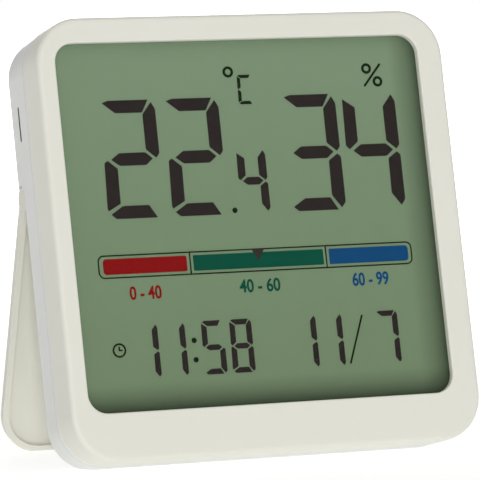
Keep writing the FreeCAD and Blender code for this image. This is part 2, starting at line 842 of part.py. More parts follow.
def all_parts():
    parts = {
        "front_frame": front_frame(),
        "display_window": display_window(),
        "zebra_strip": zebra_strip(),
        "lcd_holder": lcd_holder(),
        "circuit_board": circuit_board(),
        "controller_chip": controller_chip(),
        "quartz_crystal": quartz_crystal(),
        "humidity_sensor": humidity_sensor(),
        "thermistor": thermistor(),
        "battery_cell": battery_cell(),
        "positive_contact": contact_plate(bay_half - contact_gap - contact_thickness),
        "negative_contact": contact_plate(-bay_half + contact_gap),
        "battery_spring": battery_spring(),
        "battery_door": battery_door(),
        "rear_cover": rear_cover(),
        "hinge_pins": hinge_pins(),
    }
    parts.update(lcd_layers())
    parts["chip_capacitors"] = chips(capacitor_size, [(x, z) for x in capacitor_x for z in capacitor_z])
    parts["chip_resistors"] = chips(resistor_size, [(x, resistor_z) for x in resistor_x])
    parts["button_switches"] = Part.makeCompound([button_switch(x) for x in button_x])
    for name, x in zip(button_names, button_x):
        parts[name + "_plunger"] = plunger(x)
        parts[name + "_button"] = button(x)
    parts["board_screws"] = Part.makeCompound([
        screw(x, z, board_back, board_head_radius, board_head_height, board_shank_radius, board_screw_length)
        for x, z in board_screw_places()])
    parts["case_screws"] = Part.makeCompound([
        screw(side * case_screw_x, case_screw_z, case_head_seat, case_head_radius, case_head_height,
              case_shank_radius, case_screw_length) for side in (-1, 1)])
    return parts


def stand_up(shape):
    """Leans a piece back onto the table and puts the middle of the housing's rest at the origin."""
    shape = shape.copy()
    shape.translate(Vec(0, -base_middle, -base_line(base_middle)))
    shape.rotate(Vec(0, 0, 0), Vec(1, 0, 0), -lean_deg)
    return shape


def main():
    os.makedirs("parts", exist_ok=True)
    parts = all_parts()
    opened = stand()
    opened.rotate(Vec(0, pivot_y, pivot_z), Vec(1, 0, 0), open_deg)
    parts["stand"] = opened
    for name in sorted(parts):
        shape = stand_up(parts[name])
        shape.exportStep("parts/" + name + ".step")
        print(name, "solids", len(shape.Solids), "volume", round(shape.Volume, 2), "valid", shape.isValid())
    for label, y, z in (("stand hinge", pivot_y, pivot_z), ("door hinge", body_depth, door_low)):
        dy = y - base_middle
        dz = z - base_line(base_middle)
        back = dy * cos(lean) + dz * sin(lean)
        up = dz * cos(lean) - dy * sin(lean)
        print(label, "y", round(back, 4), "z", round(up, 4))


main()
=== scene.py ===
# %% [markdown]
# # Dressing a desk thermometer
# The construction of this thermometer is already fixed: a white moulded housing that leans back on a
# folding stand, with a liquid crystal display behind a clear window. This lesson gives every part its
# finish and draws what the display shows. It starts by loading the fixed parts, because everything
# that follows is placed by measuring them.

import json
from math import asin, cos, degrees, pi, radians, sin

import bpy
import numpy as np
from mathutils import Matrix, Vector


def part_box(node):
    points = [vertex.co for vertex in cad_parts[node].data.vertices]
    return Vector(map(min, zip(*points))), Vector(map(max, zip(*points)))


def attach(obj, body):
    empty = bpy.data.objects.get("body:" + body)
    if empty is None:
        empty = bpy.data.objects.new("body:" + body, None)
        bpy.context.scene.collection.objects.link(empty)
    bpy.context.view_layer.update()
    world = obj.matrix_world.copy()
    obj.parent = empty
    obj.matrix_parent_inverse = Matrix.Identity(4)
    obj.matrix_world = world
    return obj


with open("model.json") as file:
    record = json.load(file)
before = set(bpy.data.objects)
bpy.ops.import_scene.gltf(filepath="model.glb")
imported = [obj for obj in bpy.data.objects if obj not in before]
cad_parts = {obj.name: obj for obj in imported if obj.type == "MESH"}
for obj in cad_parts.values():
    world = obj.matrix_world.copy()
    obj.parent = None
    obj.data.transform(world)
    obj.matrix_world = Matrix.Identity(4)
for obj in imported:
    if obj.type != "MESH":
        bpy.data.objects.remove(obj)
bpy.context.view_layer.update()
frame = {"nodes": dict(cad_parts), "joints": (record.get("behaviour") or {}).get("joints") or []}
nodes = frame["nodes"]

# %% [markdown]
# ## Which way the housing leans
# A display is easiest to draw upright, in millimetres, with X to the right, Y into the housing and Z
# up along the face. The real housing leans back on its stand. Its push buttons travel straight into
# it, so the direction of that travel gives the lean, and no angle has to be typed in.

# %% Measure the lean
MM = 0.001

press = next(j for j in frame["joints"] if j["name"] == "mode_press")
lean = asin(press["axis"][2])
print("lean", round(degrees(lean), 2), "degrees")

# %% [markdown]
# ## Upright millimetres
# Once the front frame is turned upright, its lowest corner is a good zero: its depth is the front
# plane of the face and its height is the lower edge. Each part can then be measured as if it lay on
# a drawing board. The way from the board back to the leaning housing is the same turn reversed.

# %% Measure parts upright


def node_points(name):
    """The corners of a fixed part as one array of rows X, Y, Z in metres."""
    flat = np.empty(len(nodes[name].data.vertices) * 3)
    nodes[name].data.vertices.foreach_get("co", flat)
    return flat.reshape(-1, 3)


def stand_up(points):
    """Turns points by the lean about X: depth = y cos - z sin, height = y sin + z cos."""
    x, y, z = points.T
    return np.stack([x, y * cos(lean) - z * sin(lean), y * sin(lean) + z * cos(lean)], axis=1)


frame_low = stand_up(node_points("front_frame")).min(axis=0)
zero = np.array((0.0, frame_low[1], frame_low[2]))


def upright_mm(name):
    """A fixed part's corners on the drawing board: turned upright, less the zero, in millimetres."""
    return (stand_up(node_points(name)) - zero) / MM


def lean_back(points_mm):
    """Puts board points in the scene: y = depth cos + height sin, z = height cos - depth sin."""
    x, depth, height = (np.asarray(points_mm, float) * MM + zero).T
    y = depth * cos(lean) + height * sin(lean)
    z = height * cos(lean) - depth * sin(lean)
    return np.stack([x, y, z], axis=1)


film_front = upright_mm("lcd_polariser")[:, 1].min()
window_back = upright_mm("display_window")[:, 1].max()
print("film", round(film_front, 2), "mm and window", round(window_back, 2), "mm behind the front plane")

# %% [markdown]
# ## Camera
# The thermometer is seen through a long lens, from its left and a little above, which keeps its
# edges nearly parallel. The camera is described as a photographer would: where it aims, how far away
# it stands, and its angles. It could also be typed in as a matrix, but then nobody could adjust it.

# %% Place the camera
AIM_MM = (-2.77, 0.0, 42.26)
DISTANCE = 0.8238
AZIMUTH = radians(-23.446)
ELEVATION = radians(4.621)
ROLL = radians(0.648)
SENSOR_MM = 36.0
LENS_MM = 321.45
NEAREST_SEEN = 0.05

scene = bpy.context.scene
camera_data = bpy.data.cameras.new("camera")
camera_data.sensor_width = SENSOR_MM
camera_data.lens = LENS_MM
camera_data.clip_start = NEAREST_SEEN
camera = bpy.data.objects.new("camera", camera_data)
scene.collection.objects.link(camera)
back = Vector((sin(AZIMUTH) * cos(ELEVATION), -cos(AZIMUTH) * cos(ELEVATION), sin(ELEVATION)))
turn = back.to_track_quat("Z", "Y").to_matrix() @ Matrix.Rotation(-ROLL, 3, "Z")
camera.matrix_world = Matrix.Translation(Vector(AIM_MM) * MM + back * DISTANCE) @ turn.to_4x4()
scene.camera = camera
print("camera stands", DISTANCE, "m away")

# %% [markdown]
# ## Colours
# Colours are written here as a designer writes them, as sRGB codes. Blender calculates with linear
# light, so one function turns the codes into linear values, and every finish below uses it. The view
# transform is set to Standard, so that a colour leaves the render as it was written.

# %% Colours as linear values
scene.view_settings.view_transform = "Standard"


def linear(code):
    """An sRGB hex code as linear red, green and blue: ((c + 0.055) / 1.055) ** 2.4 above the toe."""
    c = np.array([int(code[i:i + 2], 16) for i in (1, 3, 5)]) / 255.0
    low = c / 12.92
    high = ((c + 0.055) / 1.055) ** 2.4
    return (*np.where(c <= 0.04045, low, high).tolist(), 1.0)


WHITE = linear("#FFFFFF")
print("a code of #808080 is", round(linear("#808080")[0], 3), "in linear light")

# %% [markdown]
# ## Sky
# In a photographer's light tent pale light comes from everywhere. A world of one even white does the
# same, and its strength sets how much of it falls on the object. The camera, reflections and light
# through glass see a brighter white, so the background is clean and adds nothing to the object. A
# picture of a real studio would do as well, but an even sky keeps colours as they are written.

# %% Sky
SKY_LIGHT = 0.25


def add(tree, kind, inputs=None, links=None, **settings):
    """Adds one node: settings are its own fields, inputs its socket values, links its wires."""
    made = tree.nodes.new(kind)
    for key, value in settings.items():
        setattr(made, key, value)
    for key, value in (inputs or {}).items():
        made.inputs[key].default_value = value
    for key, source in (links or {}).items():
        tree.links.new(source, made.inputs[key])
    return made


def seen_directly(tree):
    """1 for rays from the camera, off gloss or through glass, else 0: the largest of the three."""
    path = add(tree, "ShaderNodeLightPath").outputs
    seen = add(tree, "ShaderNodeMath", links={0: path["Is Camera Ray"], 1: path["Is Glossy Ray"]},
               operation="MAXIMUM")
    seen = add(tree, "ShaderNodeMath", links={0: seen.outputs[0], 1: path["Is Transmission Ray"]},
               operation="MAXIMUM")
    return seen.outputs[0]


world = bpy.data.worlds.new("studio")
world.use_nodes = True
scene.world = world
sky = world.node_tree
sky.nodes.clear()
light = add(sky, "ShaderNodeBackground", {"Color": WHITE, "Strength": SKY_LIGHT})
white = add(sky, "ShaderNodeBackground", {"Color": WHITE, "Strength": 1.0})
mix = add(sky, "ShaderNodeMixShader",
          links={0: seen_directly(sky), 1: light.outputs[0], 2: white.outputs[0]})
add(sky, "ShaderNodeOutputWorld", links={"Surface": mix.outputs[0]})
print("sky strength", SKY_LIGHT)

# %% [markdown]
# ## Soft panels
# The sky alone would leave the thermometer flat. A panel in front makes the face the lightest side,
# one behind and one overhead keep the back and the top from going grey, and a very weak one lifts
# the left wall. The lower edge glows as it does over a light table, so one more panel shines up
# through the table. Each is a plain square area lamp, because a large area gives soft shadows.

# %% Soft panels
CENTRE = (0.0, 0.005, 0.042)
TABLE = (0.0, 0.0, 0.0)

PANELS = (
    # name, place and target in metres, side in metres, watts
    ("front_panel", (-0.72, -1.76, 0.23), CENTRE, 0.40, 13.5),
    ("left_panel", (-1.05, -0.15, 0.35), CENTRE, 0.5, 0.1),
    ("back_panel", (0.60, 1.50, 0.45), CENTRE, 0.5, 10.0),
    ("top_panel", (0.15, -0.45, 0.90), CENTRE, 0.8, 2.2),
    ("table_panel", (0.0, 0.0, -0.50), TABLE, 0.8, 1.95),
)


def panel(name, place, target, size, watts):
    """A square soft light at place that faces target."""
    data = bpy.data.lights.new(name, "AREA")
    data.size = size
    data.energy = watts
    lamp = bpy.data.objects.new(name, data)
    scene.collection.objects.link(lamp)
    away = Vector(place) - Vector(target)
    facing = away.to_track_quat("Z", "Y").to_matrix().to_4x4()
    lamp.matrix_world = Matrix.Translation(Vector(place)) @ facing


for name, place, target, size, watts in PANELS:
    panel(name, place, target, size, watts)
    print(name, watts, "W")

# %% [markdown]
# ## A fresh material
# Every finish below starts from an empty node tree, because the default nodes would only be in the
# way. Patterns are sized by what they are on the real object, in millimetres, and one function turns
# such a size into the scale that Blender's noise takes.

# %% Start a material and size a pattern


def new_material(name):
    """A material with an empty node tree, and that tree."""
    made = bpy.data.materials.new(name)
    made.use_nodes = True
    made.node_tree.nodes.clear()
    return made, made.node_tree


def per_metre(size_mm):
    """How many pattern cells of this size fit in a metre, which is what a noise's Scale means."""
    return 1.0 / (size_mm * MM)


print("a pattern of 1 mm has a scale of", round(per_metre(1.0)))

# %% [markdown]
# ## Table
# The thermometer stands on a sheet of opal acrylic, as on a light table. Such a sheet scatters the
# light that falls on it and also lets light through, so its finish is half diffuse and half
# translucent. A lit sheet would need far more light than the object can take before it looks white,
# so for the camera, reflections and glass alone it also glows. The glow is weak around the object,
# where its soft shadow stays, and full further out, where the sheet meets the white background.

# %% Table of opal acrylic
TABLE_REACH = 3.0
NEAR_GLOW = 0.11
NEAR_END = 0.08
FAR_START = 0.6

floor_mesh = bpy.data.meshes.new("floor")
floor_corners = [(x * TABLE_REACH, y * TABLE_REACH, 0) for x, y in ((-1, -1), (1, -1), (1, 1), (-1, 1))]
floor_mesh.from_pydata(floor_corners, [], [(0, 1, 2, 3)])
floor = bpy.data.objects.new("floor", floor_mesh)
scene.collection.objects.link(floor)

# Cast opal acrylic is an even white, and in this soft light its gloss doesn't show.
opal, tree = new_material("cast opal acrylic")
solid = add(tree, "ShaderNodeBsdfDiffuse", {"Color": linear("#F7F7F6")})
through = add(tree, "ShaderNodeBsdfTranslucent", {"Color": linear("#F7F7F6")})
matt = add(tree, "ShaderNodeMixShader", {0: 0.5}, {1: solid.outputs[0], 2: through.outputs[0]})
place = add(tree, "ShaderNodeTexCoord").outputs["Object"]
far = add(tree, "ShaderNodeVectorMath", links={0: place}, operation="LENGTH")
glow = add(tree, "ShaderNodeMapRange",
           {"From Min": NEAR_END, "From Max": FAR_START, "To Min": NEAR_GLOW, "To Max": 1.0},
           {"Value": far.outputs["Value"]})
bright = add(tree, "ShaderNodeEmission", {"Color": WHITE}, {"Strength": glow.outputs[0]})
lit = add(tree, "ShaderNodeAddShader", links={0: matt.outputs[0], 1: bright.outputs[0]})
mix = add(tree, "ShaderNodeMixShader",
          links={0: seen_directly(tree), 1: matt.outputs[0], 2: lit.outputs[0]})
add(tree, "ShaderNodeOutputMaterial", links={"Surface": mix.outputs[0]})
floor_mesh.materials.append(opal)
print("table", 2 * TABLE_REACH, "m wide, glow", NEAR_GLOW, "near the object")

# %% [markdown]
# ## Dark gaps
# The two halves of the housing meet in a fine seam, and the left wall has a vent slit. On the real
# object both read as dark lines. The solids have these gaps, but white walls this close throw so
# much light back and forth that the lines nearly vanish. The plastic inside the gaps is therefore
# darkened with painted shade. A painted mask would need an image, so the gaps are marked by boxes
# in upright millimetres, measured on the parts.

# %% Measure the seam and the vent
VENT_DEPTH = 13.6
VENT_HEIGHT = 67.1
VENT_LONG = 6.8
VENT_WIDE = 0.8
VENT_FLOOR = -38
SKIN = 0.05
SEAM_SLACK = 0.02
# farther out than any part of the housing
BEYOND = 60
# half a slit and a little more: to find its corners, and for its box
FIND = 0.6
COVER = 0.55

seam_front = upright_mm("front_frame")[:, 1].max()
cover = upright_mm("rear_cover")
seam_back = cover[cover[:, 1] > seam_front][:, 1].min()
seam = ((-BEYOND, seam_front - SEAM_SLACK, -BEYOND), (BEYOND, seam_back + SEAM_SLACK, 2 * BEYOND))

by_depth = np.abs(cover[:, 1] - VENT_DEPTH) < VENT_WIDE * FIND
by_height = np.abs(cover[:, 2] - VENT_HEIGHT) < VENT_LONG * FIND
vent_skin = cover[by_depth & by_height][:, 0].min()
half_wide = VENT_WIDE * COVER
half_long = VENT_LONG * COVER
vent = ((vent_skin + SKIN, VENT_DEPTH - half_wide, VENT_HEIGHT - half_long),
        (VENT_FLOOR, VENT_DEPTH + half_wide, VENT_HEIGHT + half_long))
print("seam from", round(seam_front, 2), "to", round(seam_back, 2), "mm, vent at x", round(vent_skin, 2))

# %% [markdown]
# ## Box masks
# Inside a material, a box is a short sum on the point that is being shaded. The point is turned
# upright, measured from the middle of the box, and it is inside when it is nearer than half the box
# on all three axes. The sum runs in the part's own coordinates, so it moves with the part.

# %% Mark a box inside a material


def in_box(tree, place, low, high):
    """1 inside a box of upright millimetres, else 0: the largest of |p - middle| - half is below 0."""
    low, high = np.array(low), np.array(high)
    middle = (low + high) / 2 * MM + zero
    half = (high - low) / 2 * MM
    turned = add(tree, "ShaderNodeMapping", {"Rotation": (lean, 0, 0)}, {"Vector": place})
    away = add(tree, "ShaderNodeVectorMath", {1: middle.tolist()}, {0: turned.outputs[0]},
               operation="SUBTRACT")
    size = add(tree, "ShaderNodeVectorMath", links={0: away.outputs[0]}, operation="ABSOLUTE")
    past = add(tree, "ShaderNodeVectorMath", {1: half.tolist()}, {0: size.outputs[0]},
               operation="SUBTRACT")
    axes = add(tree, "ShaderNodeSeparateXYZ", links={"Vector": past.outputs[0]}).outputs
    worst = add(tree, "ShaderNodeMath", links={0: axes["X"], 1: axes["Y"]}, operation="MAXIMUM")
    worst = add(tree, "ShaderNodeMath", links={0: worst.outputs[0], 1: axes["Z"]}, operation="MAXIMUM")
    inside = add(tree, "ShaderNodeMath", {1: 0.0}, {0: worst.outputs[0]}, operation="LESS_THAN")
    return inside.outputs[0]


print("seam box is", round(seam[1][1] - seam[0][1], 2), "mm deep")

# %% [markdown]
# ## Moulded plastic
# Housing, stand and battery door are ABS, injection moulded in steel tools with a fine spark-eroded
# grain. To the eye that is an even, nearly matt white with a soft sheen. Real grain is about 0.05 mm,
# too fine to show here, so it is drawn at 0.35 mm with very little depth. A much larger, faint cloud
# of tone keeps big flat faces from looking computed. An image texture could do both, but noise in
# the part's own coordinates needs no unwrapping and has no seams.

# %% A function for moulded plastics
PLASTIC_IOR = 1.53
# share of the colour that painted shade takes away inside the seam and vent boxes
GAP_SHADE = 0.8
ROUGH_DRIFT = 0.05


def moulded(name, low, high, roughness=0.5, grain_mm=0.35, depth_mm=0.004, cloud_mm=18.0, gloss=0.5,
            shade_boxes=()):
    """Colour from code low to code high by a cloud of noise, times one less the painted shade's share
    inside each box.
    """
    made, tree = new_material(name)
    place = add(tree, "ShaderNodeTexCoord").outputs["Object"]
    cloud = add(tree, "ShaderNodeTexNoise", {"Scale": per_metre(cloud_mm), "Detail": 3.0},
                {"Vector": place})
    tone = add(tree, "ShaderNodeMix", {"A": linear(low), "B": linear(high)},
               {"Factor": cloud.outputs["Fac"]}, data_type="RGBA")
    colour = tone.outputs["Result"]
    # painted shade: inside each box the colour is scaled down
    for box in shade_boxes:
        left = add(tree, "ShaderNodeMath", {1: -GAP_SHADE, 2: 1.0}, {0: in_box(tree, place, *box)},
                   operation="MULTIPLY_ADD")
        gap_shaded = add(tree, "ShaderNodeVectorMath", links={0: colour, "Scale": left.outputs[0]},
                     operation="SCALE")
        colour = gap_shaded.outputs[0]
    grain = add(tree, "ShaderNodeTexNoise", {"Scale": per_metre(grain_mm), "Detail": 2.0},
                {"Vector": place})
    bump = add(tree, "ShaderNodeBump", {"Strength": 0.5, "Distance": depth_mm * MM},
               {"Height": grain.outputs["Fac"]})
    rough = add(tree, "ShaderNodeMapRange",
                {"To Min": roughness - ROUGH_DRIFT, "To Max": roughness + ROUGH_DRIFT},
                {"Value": grain.outputs["Fac"]})
    skin = add(tree, "ShaderNodeBsdfPrincipled", {"IOR": PLASTIC_IOR, "Specular IOR Level": gloss},
               {"Base Color": colour, "Roughness": rough.outputs["Result"],
                "Normal": bump.outputs["Normal"]})
    add(tree, "ShaderNodeOutputMaterial", links={"Surface": skin.outputs[0]})
    return made


def finish(name, made):
    """Gives a fixed part one finish all over."""
    data = nodes[name].data
    data.materials.clear()
    data.materials.append(made)
    print(name, "in", made.name)


# Moulded ABS: a warm, even white, nearly matt, which catches only a broad soft highlight.
# painted shade darkens the seam
finish("front_frame", moulded("moulded white ABS, front frame", "#DFDED3", "#E3E2D8", shade_boxes=[seam]))

# %% [markdown]
# ## The other white parts
# The rear cover and its battery door share one finish, a touch cooler than the frame: painted cool
# light, as falls on the left wall, which is mostly rear cover. The stand is a touch darker: painted
# shade for its place behind the housing. All three use the same grain, so they are one function with
# other codes.

# %% Rear cover, battery door, stand and holder
# painted shade darkens the seam and the vent slit
cover_abs = moulded("moulded white ABS, rear cover", "#DEDFDB", "#E2E3E0", shade_boxes=[seam, vent])
# the rear cover's cooler white is painted cool light
finish("rear_cover", cover_abs)
finish("battery_door", cover_abs)
# the stand's darker white is painted shade
finish("stand", moulded("moulded white ABS, stand", "#D9D8CC", "#DCDBD0"))
finish("lcd_holder", moulded("moulded white ABS, holder", "#E4E4DF", "#E8E8E4", roughness=0.4))

# %% [markdown]
# ## Buttons and small inner parts
# Inside, each part has the plastic that its work asks for: nylon where something slides, PBT around
# the sensor, rubber for the connector, epoxy over the chip. What differs to the eye is how dark and
# how shiny each is, so one table holds the two codes and the roughness of all of them.

# %% Grey buttons and inner plastics
# Moulded grey ABS: pale and half matt, smoother than the housing where fingers press.
grey_abs = moulded("moulded grey ABS, buttons", "#B9BBB9", "#C1C3C1", roughness=0.45)
# Moulded nylon: black, with the faint shine of a part that slides.
slick_nylon = moulded("moulded black nylon, plungers", "#1B1B1C", "#262627", roughness=0.4)
for key in ("mode", "up", "down"):
    finish(key + "_button", grey_abs)
    finish(key + "_plunger", slick_nylon)

INNER = (
    # Moulded nylon and PBT: half matt, black or pale.
    ("button_switches", "moulded black nylon, switch body", "#202021", "#2B2B2C", 0.45),
    ("humidity_sensor", "moulded pale PBT, sensor cage", "#C9CDD2", "#D3D6DA", 0.45),
    # Ceramic: dry tan where it is only fired, dark and glossy where it is glazed.
    ("chip_capacitors", "fired ceramic, capacitors", "#A9845A", "#B8946A", 0.5),
    ("chip_resistors", "glazed ceramic, resistors", "#1A1A1E", "#2A2A30", 0.3),
    # Epoxy flows before it cures, which leaves a wet black shine.
    ("controller_chip", "cured epoxy, chip drop", "#0E0E10", "#17171A", 0.2),
    ("thermistor", "dipped epoxy, thermistor bead", "#131315", "#1F1F22", 0.25),
    # Pressed silicone rubber: dark grey and dull.
    ("zebra_strip", "pressed silicone rubber, connector", "#2C2C2E", "#3D3D40", 0.6),
)
for name, made_of, low, high, roughness in INNER:
    finish(name, moulded(made_of, low, high, roughness=roughness))

# %% [markdown]
# ## Metal parts
# Contacts, spring, screws, pins and the crystal's can are nickel-plated steel. Rolled or turned metal
# reflects its surroundings in soft streaks, so the roughness drifts a little over 1.5 mm. The metal
# keeps the default IOR, because its colour alone sets how it reflects.

# %% Nickel-plated steel
DRIFT_MM = 1.5


def plated(name, code, roughness):
    """Plated metal whose roughness drifts from 0.07 below to 0.1 above, as after tumbling."""
    made, tree = new_material(name)
    place = add(tree, "ShaderNodeTexCoord").outputs["Object"]
    drift = add(tree, "ShaderNodeTexNoise", {"Scale": per_metre(DRIFT_MM), "Detail": 4.0},
                {"Vector": place})
    rough = add(tree, "ShaderNodeMapRange", {"To Min": roughness - 0.07, "To Max": roughness + 0.1},
                {"Value": drift.outputs["Fac"]})
    skin = add(tree, "ShaderNodeBsdfPrincipled", {"Base Color": linear(code), "Metallic": 1.0},
               {"Roughness": rough.outputs["Result"]})
    add(tree, "ShaderNodeOutputMaterial", links={"Surface": skin.outputs[0]})
    return made


# Nickel plating is a slightly warm grey mirror, blurred by tumbling.
nickel = plated("nickel-plated steel", "#C9C6BF", 0.28)
for name in ("positive_contact", "negative_contact", "battery_spring", "case_screws", "board_screws",
             "hinge_pins", "quartz_crystal"):
    finish(name, nickel)

# %% [markdown]
# ## Circuit board
# The board is glass epoxy under a green solder mask. Copper tracks under the mask show as slightly
# lighter and higher bands. Drawing real tracks would take hundreds of shapes that hardly anyone sees,
# so a wave texture, bent by its own distortion, stands in for them.

# %% Solder mask
TRACK_PITCH_MM = 10.05
TRACK_HEIGHT_MM = 0.03


def solder_mask():
    """Lighter where a bent wave passes 0.62 to 0.68; its Scale is 2 pi / (20 x pitch in metres)."""
    made, tree = new_material("screened solder mask on glass epoxy")
    place = add(tree, "ShaderNodeTexCoord").outputs["Object"]
    tracks = add(tree, "ShaderNodeTexWave",
                 {"Scale": 2 * pi * per_metre(TRACK_PITCH_MM) / 20, "Distortion": 6.0, "Detail": 1.0,
                  "Detail Scale": 0.6},
                 {"Vector": place}, bands_direction="X")
    edge = add(tree, "ShaderNodeMapRange", {"From Min": 0.62, "From Max": 0.68},
               {"Value": tracks.outputs["Fac"]})
    tone = add(tree, "ShaderNodeMix", {"A": linear("#1E4A2A"), "B": linear("#2F6A3C")},
               {"Factor": edge.outputs["Result"]}, data_type="RGBA")
    bump = add(tree, "ShaderNodeBump", {"Strength": 0.4, "Distance": TRACK_HEIGHT_MM * MM},
               {"Height": edge.outputs["Result"]})
    skin = add(tree, "ShaderNodeBsdfPrincipled", {"Roughness": 0.32},
               {"Base Color": tone.outputs["Result"], "Normal": bump.outputs["Normal"]})
    add(tree, "ShaderNodeOutputMaterial", links={"Surface": skin.outputs[0]})
    return made


# Screened mask is a smooth, half glossy green skin over the board.
finish("circuit_board", solder_mask())

# %% [markdown]
# ## Cell
# The cell is a steel can in a shrink sleeve: a bare metal rim, a dark sleeve, a pale ring, a gold
# coloured end and the nub. A sleeve is printed in plain bands, so a ramp with hard steps along the
# measured length of the cell gives all of it at once.

# %% Sleeve of the cell
cell_low, cell_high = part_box("battery_cell")
SLEEVE = (
    # share of the length where the band starts, and its colour
    (0.0, "#B8B5AE"),
    (0.015, "#2E4A57"),
    (0.70, "#C7CCCB"),
    (0.72, "#C9A24A"),
    (0.955, "#B8B5AE"),
)


def cell_sleeve():
    """Colour by steps of (x - low) / (high - low) along the cell."""
    made, tree = new_material("shrunk sleeve over steel can")
    place = add(tree, "ShaderNodeTexCoord").outputs["Object"]
    x = add(tree, "ShaderNodeSeparateXYZ", links={"Vector": place}).outputs["X"]
    share = add(tree, "ShaderNodeMapRange", {"From Min": cell_low.x, "From Max": cell_high.x},
                {"Value": x})
    bands = add(tree, "ShaderNodeValToRGB", links={"Fac": share.outputs["Result"]})
    ramp = bands.color_ramp
    ramp.interpolation = "CONSTANT"
    ramp.elements.remove(ramp.elements[1])
    ramp.elements[0].color = linear(SLEEVE[0][1])
    for start, code in SLEEVE[1:]:
        ramp.elements.new(start).color = linear(code)
    skin = add(tree, "ShaderNodeBsdfPrincipled", {"Roughness": 0.3, "Metallic": 0.35},
               {"Base Color": bands.outputs["Color"]})
    add(tree, "ShaderNodeOutputMaterial", links={"Surface": skin.outputs[0]})
    return made


# Shrunk film over bright steel is smooth and half metallic, with a sharp highlight.
finish("battery_cell", cell_sleeve())
print("cell is", round((cell_high.x - cell_low.x) / MM, 1), "mm long")

# %% [markdown]
# ## The display's film
# A reflective display is a stack: clear window, polarising film, two glass sheets and a reflector.
# What the eye sees is the film's grey green. The frame shades the reflector along its right and lower
# edges, so the film gets darker there over about 5 mm. That shade belongs to the stack, so it is
# worked out from places on the film, and it looks the same from every side.

# %% Grey green film with shaded edges
OPENING_MARGIN = 1.12
SHADE_REACH = 5.6
SHADE_DEPTH = 0.72
RIGHT_POWER = 0.6
LOW_POWER = 1.3
CLOUD_MM = 2.5
CLOUD_DRIFT = 0.015

window = upright_mm("display_window")
opening_right = window[:, 0].max() - OPENING_MARGIN
opening_low = window[:, 2].min() + OPENING_MARGIN
opening_high = window[:, 2].max() - OPENING_MARGIN
print("opening ends at x", round(opening_right, 2), "z", round(opening_low, 2), round(opening_high, 2))


def display_film():
    """Tone from the lower to the upper edge, times (1 - 0.72 t) ** 0.6 towards the right edge and
    1 - 0.72 t ** 1.3 towards the lower edge, where t runs from 0 to 1 over the shade's reach."""
    made, tree = new_material("stretched polarising film over reflector")
    place = add(tree, "ShaderNodeTexCoord").outputs["Object"]
    turned = add(tree, "ShaderNodeMapping", {"Rotation": (lean, 0, 0)}, {"Vector": place})
    axes = add(tree, "ShaderNodeSeparateXYZ", links={"Vector": turned.outputs[0]}).outputs
    low_edge = zero[2] + opening_low * MM
    high_edge = zero[2] + opening_high * MM

    right = add(tree, "ShaderNodeMapRange",
                {"From Min": (opening_right - SHADE_REACH) * MM, "From Max": opening_right * MM,
                 "To Min": 1.0, "To Max": 1.0 - SHADE_DEPTH}, {"Value": axes["X"]})
    right = add(tree, "ShaderNodeMath", {1: RIGHT_POWER}, {0: right.outputs[0]}, operation="POWER")
    lower = add(tree, "ShaderNodeMapRange",
                {"From Min": low_edge + SHADE_REACH * MM, "From Max": low_edge}, {"Value": axes["Z"]})
    lower = add(tree, "ShaderNodeMath", {1: LOW_POWER}, {0: lower.outputs[0]}, operation="POWER")
    lower = add(tree, "ShaderNodeMath", {1: -SHADE_DEPTH, 2: 1.0}, {0: lower.outputs[0]},
                operation="MULTIPLY_ADD")
    shade = add(tree, "ShaderNodeMath", links={0: right.outputs[0], 1: lower.outputs[0]},
                operation="MULTIPLY")

    rise = add(tree, "ShaderNodeMapRange", {"From Min": low_edge, "From Max": high_edge},
               {"Value": axes["Z"]})
    tone = add(tree, "ShaderNodeMix", {"A": linear("#75896B"), "B": linear("#7F9578")},
               {"Factor": rise.outputs[0]}, data_type="RGBA")
    fine = add(tree, "ShaderNodeTexNoise", {"Scale": per_metre(CLOUD_MM), "Detail": 3.0},
               {"Vector": place})
    cloud = add(tree, "ShaderNodeMapRange", {"To Min": 1.0 - CLOUD_DRIFT, "To Max": 1.0 + CLOUD_DRIFT},
                {"Value": fine.outputs["Fac"]})
    total = add(tree, "ShaderNodeMath", links={0: shade.outputs[0], 1: cloud.outputs[0]},
                operation="MULTIPLY")
    colour = add(tree, "ShaderNodeVectorMath",
                 links={0: tone.outputs["Result"], "Scale": total.outputs[0]}, operation="SCALE")
    skin = add(tree, "ShaderNodeBsdfPrincipled", {"Roughness": 0.45, "Specular IOR Level": 0.0},
               {"Base Color": colour.outputs[0]})
    add(tree, "ShaderNodeOutputMaterial", links={"Surface": skin.outputs[0]})
    return made


# Stretched film lies flat under the window: an even grey green with no gloss of its own.
finish("lcd_polariser", display_film())
# Aluminised film behind the glass is a dull mirror.
finish("lcd_reflector", plated("aluminised reflector", "#A7AD9F", 0.45))

# %% [markdown]
# ## Clear window and glass
# The window is moulded acrylic and the two sheets of the display are float glass. All are so clear
# that only a trace of tint and gloss tells that they are there. Refraction through sheets this thin
# moves nothing that can be seen, so they are made see-through instead, which renders with less noise.

# %% Clear window and glass
CLEAR_IOR = 1.49
SMEAR_MM = 9.0


def clear_sheet(name, code, opacity, roughness):
    """A sheet that is clear but for the share opacity, and whose roughness a smear lifts to double."""
    made, tree = new_material(name)
    place = add(tree, "ShaderNodeTexCoord").outputs["Object"]
    smear = add(tree, "ShaderNodeTexNoise", {"Scale": per_metre(SMEAR_MM), "Detail": 4.0},
                {"Vector": place})
    rough = add(tree, "ShaderNodeMapRange", {"To Min": roughness, "To Max": roughness * 2},
                {"Value": smear.outputs["Fac"]})
    skin = add(tree, "ShaderNodeBsdfPrincipled",
               {"Base Color": linear(code), "Alpha": opacity, "IOR": CLEAR_IOR,
                "Specular IOR Level": 0.03},
               {"Roughness": rough.outputs["Result"]})
    add(tree, "ShaderNodeOutputMaterial", links={"Surface": skin.outputs[0]})
    return made


